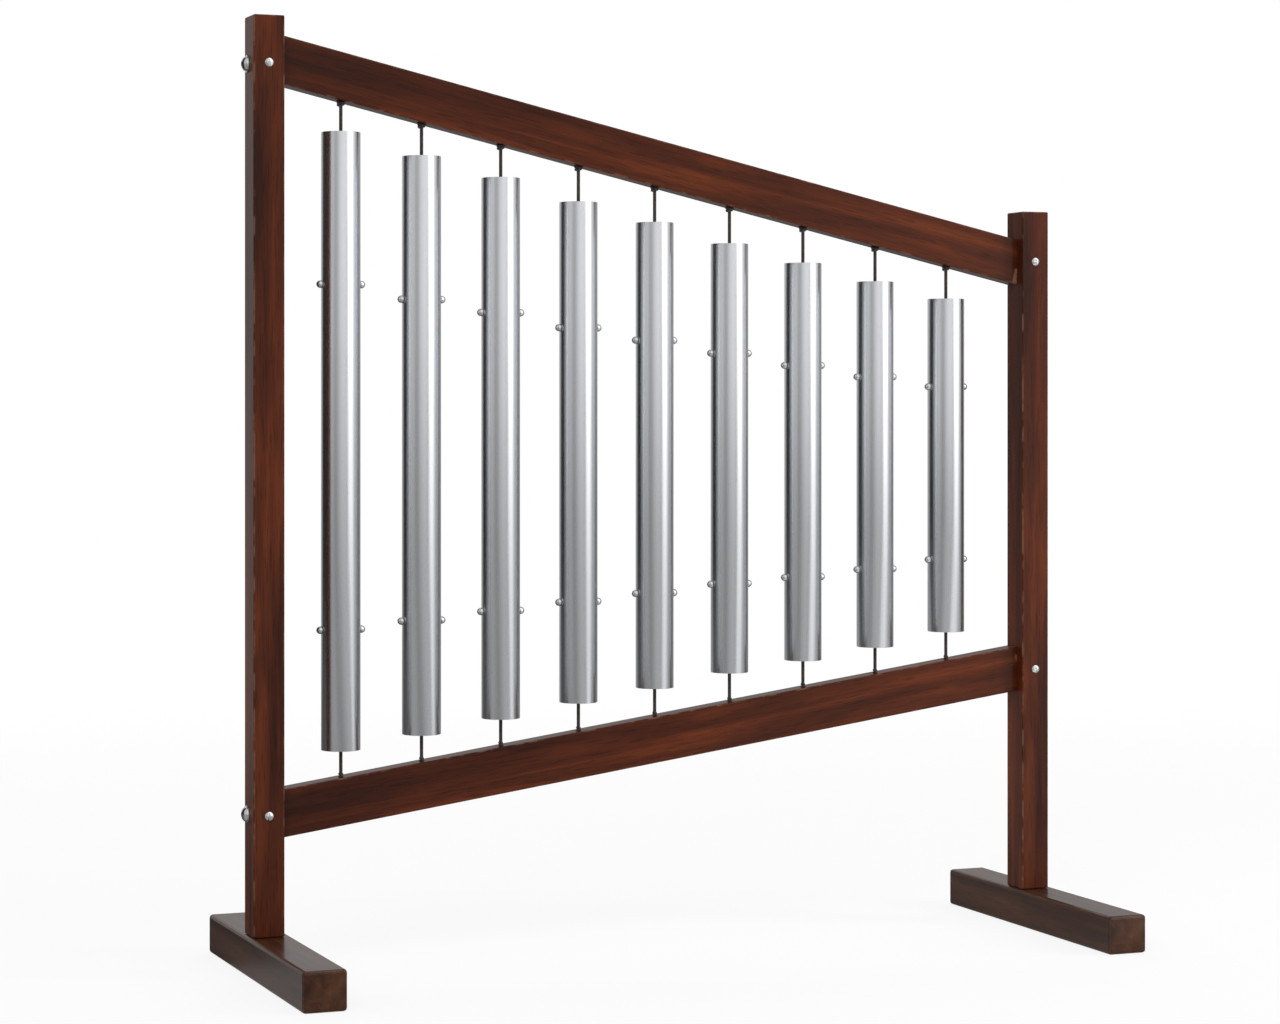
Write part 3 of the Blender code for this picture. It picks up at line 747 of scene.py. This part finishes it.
braid = bpy.data.materials.new("dark_braid")
braid.use_nodes = True
tree = braid.node_tree
fibre = tree.nodes["Principled BSDF"]
fibre.inputs["Roughness"].default_value = BRAID_ROUGHNESS
fibre.inputs["Sheen Weight"].default_value = BRAID_SHEEN
wrap = tree.nodes.new("ShaderNodeUVMap")
plaits = []
for lean in (1.0, -1.0):
    turned = tree.nodes.new("ShaderNodeMapping")
    turned.inputs["Scale"].default_value = (1.0, BRAID_ALONG, 1.0)
    tree.links.new(wrap.outputs[0], turned.inputs["Vector"])
    axes = tree.nodes.new("ShaderNodeSeparateXYZ")
    tree.links.new(turned.outputs[0], axes.inputs[0])
    leaned = tree.nodes.new("ShaderNodeMath")
    leaned.operation = "MULTIPLY_ADD"
    leaned.inputs[1].default_value = lean
    tree.links.new(axes.outputs["Y"], leaned.inputs[0])
    tree.links.new(axes.outputs["X"], leaned.inputs[2])
    angle = tree.nodes.new("ShaderNodeMath")
    angle.operation = "MULTIPLY"
    angle.inputs[1].default_value = 2 * math.pi * BRAID_ROUND
    tree.links.new(leaned.outputs[0], angle.inputs[0])
    ridge = tree.nodes.new("ShaderNodeMath")
    ridge.operation = "SINE"
    tree.links.new(angle.outputs[0], ridge.inputs[0])
    plaits.append(ridge.outputs[0])
weave = pick_node(tree, "MAXIMUM", plaits[0], plaits[1])
# Painted shade: the braid's hollows are coloured darker than its ridges, on top of the bump.
hollow_shade = tree.nodes.new("ShaderNodeMapRange")
hollow_shade.inputs["From Min"].default_value = BRAID_HOLLOW
tree.links.new(weave, hollow_shade.inputs["Value"])
weave_shading = tree.nodes.new("ShaderNodeMix")
weave_shading.data_type = "RGBA"
weave_shading.inputs["A"].default_value = CORD_SHADED_HOLLOW
weave_shading.inputs["B"].default_value = CORD_LIGHT
tree.links.new(hollow_shade.outputs[0], weave_shading.inputs["Factor"])
tree.links.new(weave_shading.outputs["Result"], fibre.inputs["Base Color"])
relief = tree.nodes.new("ShaderNodeBump")
relief.inputs["Strength"].default_value = BRAID_STRENGTH
relief.inputs["Distance"].default_value = BRAID_DEPTH
tree.links.new(weave, relief.inputs["Height"])
tree.links.new(relief.outputs[0], fibre.inputs["Normal"])


def wrap_braid(piece, axis_x, axis_y):
    """Lay the braid's pattern round a cord: once round it per unit, and as far along it."""
    mesh = piece.data
    if not mesh.uv_layers:
        mesh.uv_layers.new(name="UVMap")
    layer = mesh.uv_layers.active.data
    girth = 2 * math.pi * CORD_RADIUS
    for face in mesh.polygons:
        turns = []
        for corner in face.loop_indices:
            point = mesh.vertices[mesh.loops[corner].vertex_index].co
            turns.append(math.atan2(point.y - axis_y, point.x - axis_x) / (2 * math.pi))
        wraps = max(turns) - min(turns) > 0.5
        for corner, turn in zip(face.loop_indices, turns):
            point = mesh.vertices[mesh.loops[corner].vertex_index].co
            layer[corner].uv = (turn + 1.0 if wraps and turn < 0 else turn, point.z / girth)


def ring(radius, strand, place, rotation):
    """One turn of cord."""
    bpy.ops.object.select_all(action="DESELECT")
    bpy.ops.mesh.primitive_torus_add(major_radius=radius, minor_radius=strand,
                                     major_segments=RING_STEPS, minor_segments=RING_FACETS,
                                     location=place, rotation=rotation)
    bpy.ops.object.transform_apply(location=True, rotation=True)
    return bpy.context.object


def pin_eye(x, y, middle):
    """An eye in the plane across a cross pin."""
    return ring(EYE_RADIUS, EYE_STRAND, (x, y, middle), (0, math.radians(90), 0))


def long_eye(x, y, base, top):
    """An eye with straight sides: one turn of cord whose upper half is drawn up."""
    middle = base + EYE_RADIUS
    above_middle = middle + 0.00001
    turn = pin_eye(x, y, middle)
    for vertex in turn.data.vertices:
        if vertex.co.z > above_middle:
            vertex.co.z += top - base - 2 * EYE_RADIUS
    return turn


def cord_run(x, y, low, high):
    """A straight run of cord."""
    bpy.ops.object.select_all(action="DESELECT")
    bpy.ops.mesh.primitive_cylinder_add(vertices=CORD_FACETS, radius=CORD_RADIUS, depth=high - low,
                                        location=(x, y, (low + high) / 2))
    bpy.ops.object.transform_apply(location=True)
    return bpy.context.object


def knot_of(x, y, height, radius, strand, gap):
    """A knot drawn tight: two turns of cord that lean against each other."""
    first = ring(radius, strand, (x, y, height + gap), (KNOT_LEAN, 0, KNOT_TURNS[0]))
    second = ring(radius * SECOND_RADIUS, strand * SECOND_STRAND, (x, y, height - gap),
                  (-KNOT_LEAN, KNOT_LEAN / 2, KNOT_TURNS[1]))
    return join_pieces(first, second)


hinge_height = {joint["name"]: joint["pos_m"][2] for joint in frame["joints"]}
for number in range(1, 10):
    low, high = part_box(f"tube_{number}")
    x = (low.x + high.x) / 2
    y = (low.y + high.y) / 2
    hang = hinge_height[f"swing_{number}"]
    upper_pin = hinge_height[f"level_{number}"]
    eye = pin_eye(x, y, upper_pin)
    knot = knot_of(x, y, hang - UPPER_KNOT_DROP, **UPPER_KNOT)
    run = cord_run(x, y, upper_pin + EYE_RADIUS, hang)
    cord = join_pieces(run, knot, eye)
    wrap_braid(cord, x, y)
    finish_piece(cord, f"upper_cord_{number}", braid, f"hanger_{number}", "cord",
                 f"hanging_cord_{number}")

    tie = hinge_height[f"steady_{number}"]
    eye_low, eye_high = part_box(f"tether_cord_{number}")
    pin_low, pin_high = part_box(f"lower_pin_{number}")
    lower_pin = (pin_low.z + pin_high.z) / 2
    eye_top = eye_high.z - EYE_STRAND
    eye_base = lower_pin - EYE_RADIUS
    eye = long_eye(x, y, eye_base, eye_top)
    knot = knot_of(x, y, tie + LOWER_KNOT_RISE, **LOWER_KNOT)
    run = cord_run(x, y, tie, eye_base)
    cord = join_pieces(run, knot, eye)
    wrap_braid(cord, x, y)
    finish_piece(cord, f"lower_cord_{number}", braid, f"tether_{number}", "cord",
                 f"tether_cord_{number}")
